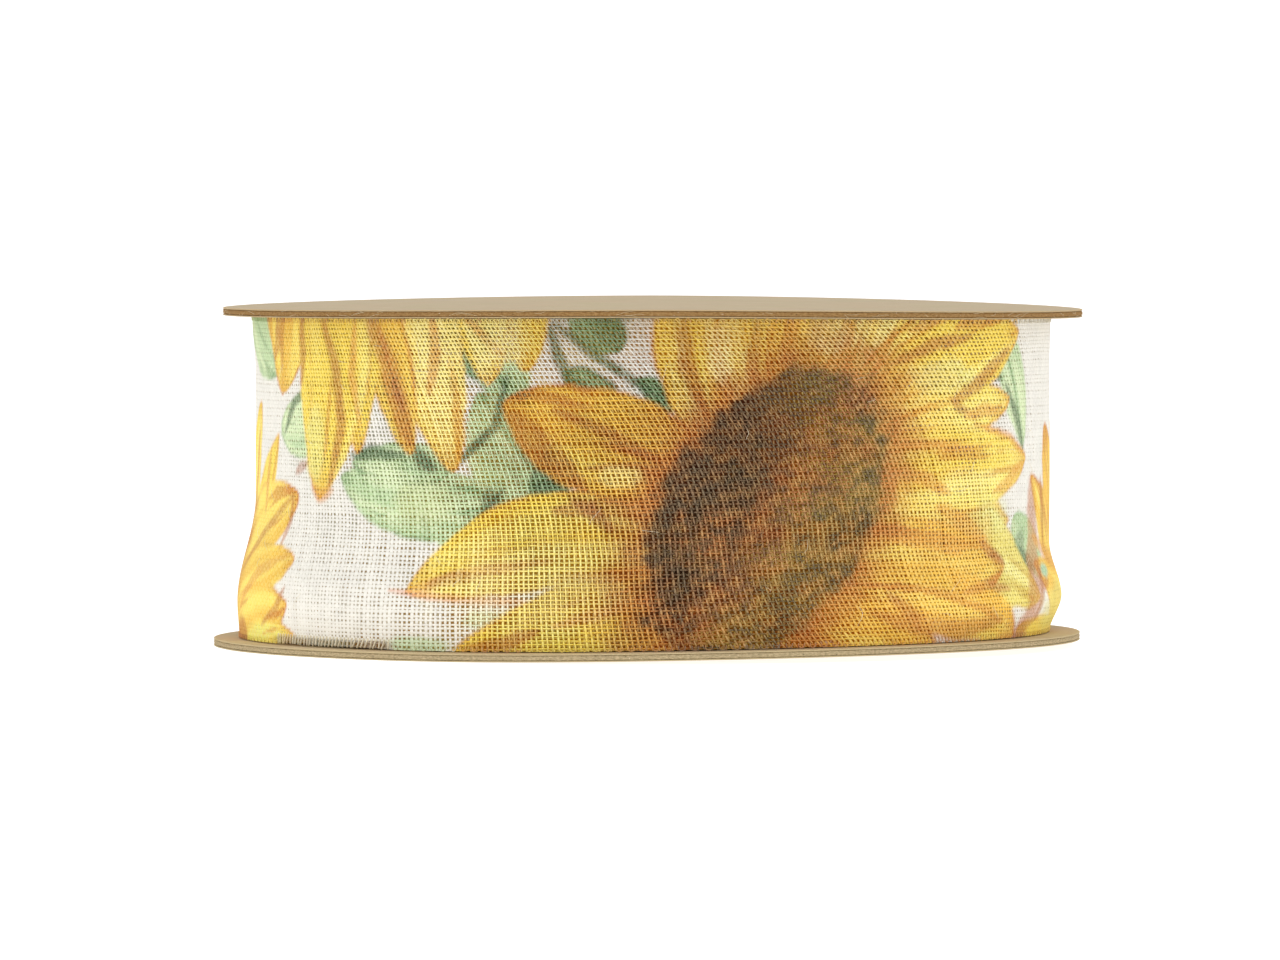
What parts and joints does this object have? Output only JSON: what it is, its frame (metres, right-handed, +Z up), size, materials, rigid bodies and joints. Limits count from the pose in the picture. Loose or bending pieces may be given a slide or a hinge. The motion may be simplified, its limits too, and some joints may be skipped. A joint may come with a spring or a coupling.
{
  "type": "ribbon spool",
  "caption": "Open-weave printed ribbon wound on a board tube between two round kraft end boards, with a free end that peels off the roll.",
  "frame": {"origin": "centre of the bottom board's outer face, which the spool stands on", "axes": "+Z up along the spool's axis; the ribbon's free end lies on the back of the roll, towards +Y"},
  "size_m": [0.106, 0.106, 0.0422],
  "materials": {
    "kraft_paper": "matt, fibrous kraft lining",
    "solid_board": "raw cut board, dark fibres in the rim",
    "tube_board": "raw grey board, spirally wound",
    "hot_glue": "set glue bead, satin",
    "paper_tape": "creped paper tape",
    "ribbon_cloth": "open plain weave, printed with yellow flowers and green leaves on off-white",
    "clear_tape": "thin clear film, glossy"
  },
  "bodies": {
    "spool": {"bottom_board_outer_lining": "kraft_paper", "bottom_board_ply": "solid_board", "bottom_board_inner_lining": "kraft_paper", "top_board_inner_lining": "kraft_paper", "top_board_ply": "solid_board", "top_board_outer_lining": "kraft_paper", "core_tube_inner_ply": "tube_board", "core_tube_outer_ply": "tube_board", "bottom_glue_ring": "hot_glue", "top_glue_ring": "hot_glue", "start_tape": "paper_tape", "ribbon_wound_turns": "ribbon_cloth", "ribbon_last_turn": "ribbon_cloth"},
    "free_end": {"ribbon_free_end": "ribbon_cloth", "end_tape": "clear_tape"}
  },
  "joints": [
    {"name": "tail_peel", "type": "hinge", "parent": "spool", "child": "free_end", "pos_m": [-0.01836, 0.04543, 0.02111], "axis": [0, 0, 1], "range_deg": [0, 110]}
  ]
}
